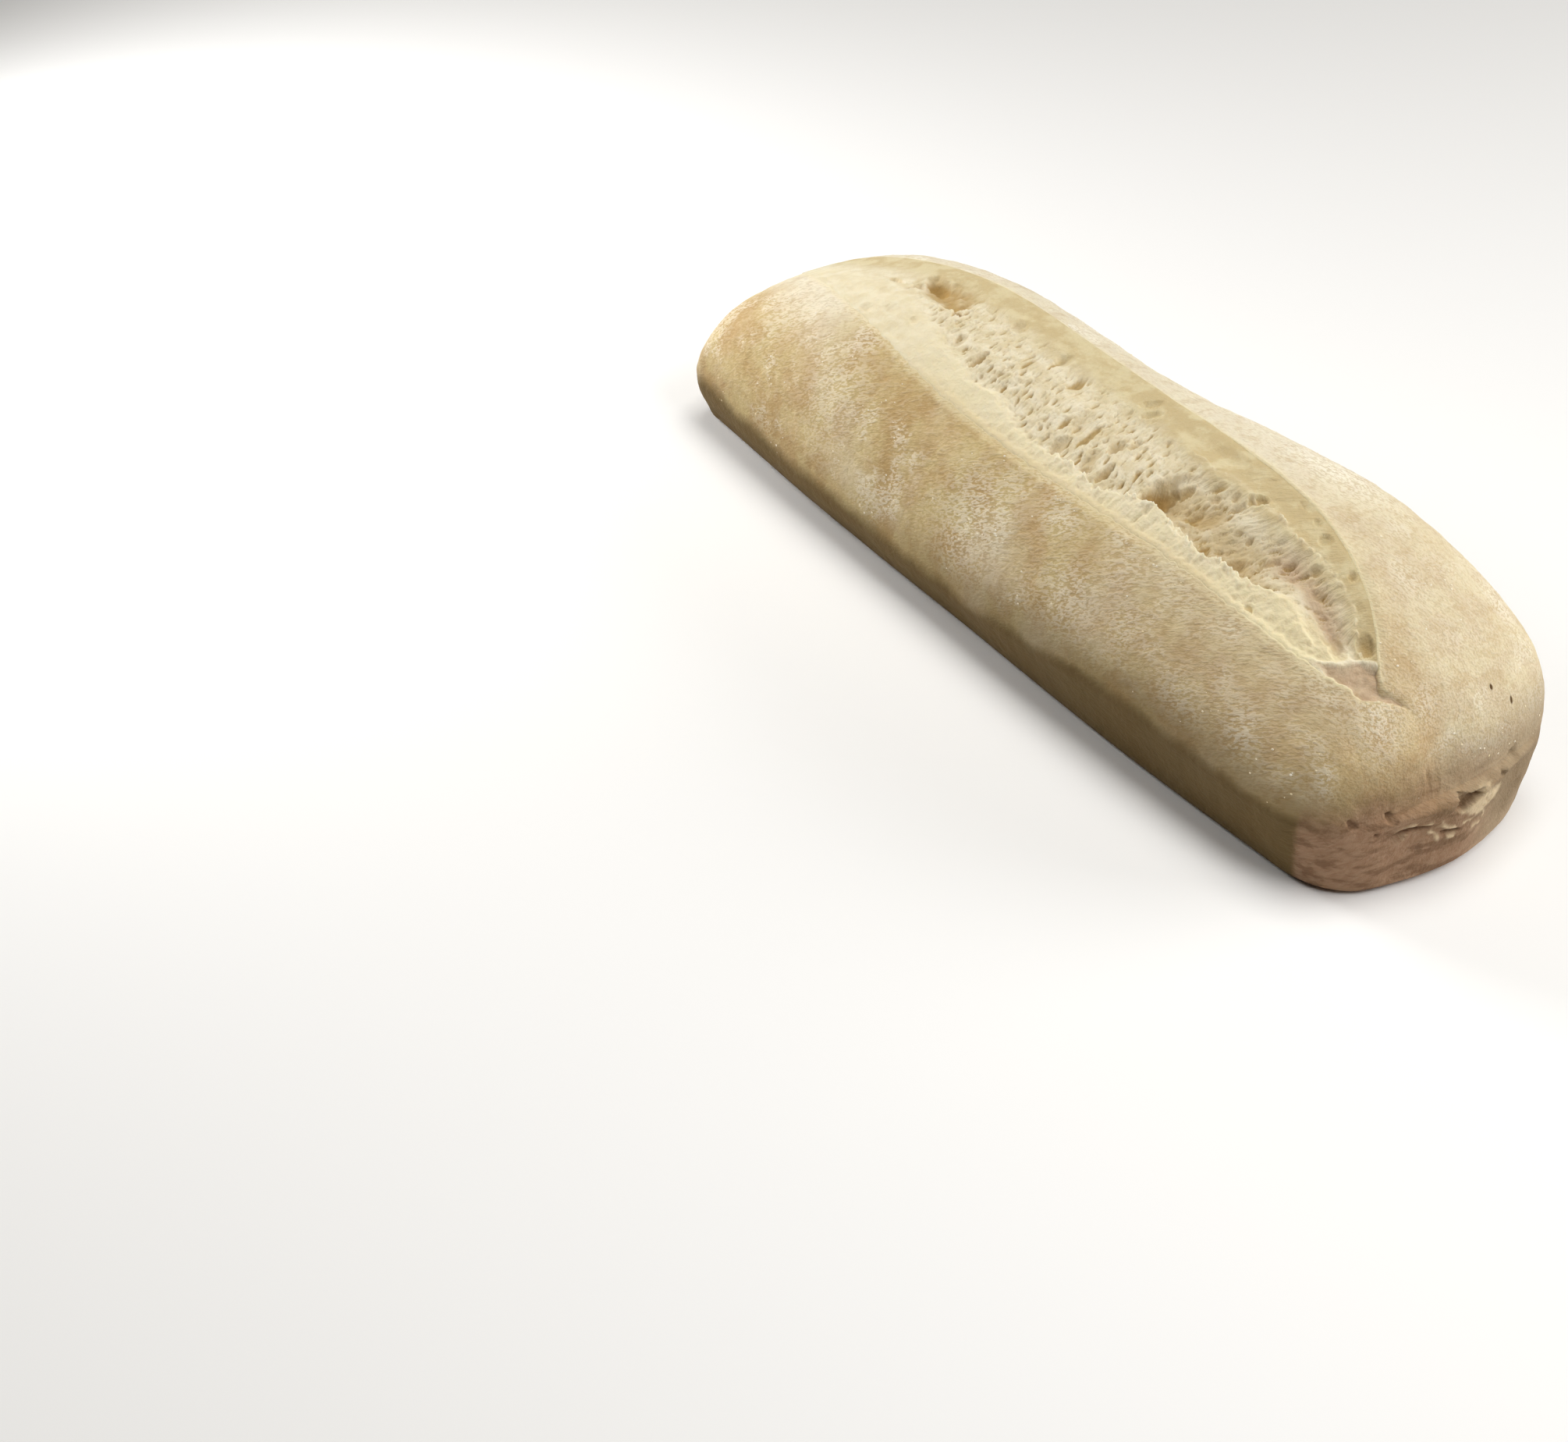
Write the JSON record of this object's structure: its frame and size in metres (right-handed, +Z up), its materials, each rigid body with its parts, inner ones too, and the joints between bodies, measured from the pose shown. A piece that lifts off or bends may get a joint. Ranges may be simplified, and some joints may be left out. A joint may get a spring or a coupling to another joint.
{
  "type": "slashed bread roll",
  "caption": "Long white bread roll with a floury crust, split open along the top by one lengthwise slash, lying on its flat baked base.",
  "frame": {"origin": "on the flat base, under the middle of the roll's box", "axes": "+X along the roll towards its cracked end, +Y towards the high lip of the slash, +Z up"},
  "size_m": [0.2, 0.0647, 0.0472],
  "materials": {
    "floury_crust": "dry pale wheat crust dusted with flour, matte"
  },
  "bodies": {
    "root": {"bread_roll": "floury_crust"}
  },
  "joints": []
}
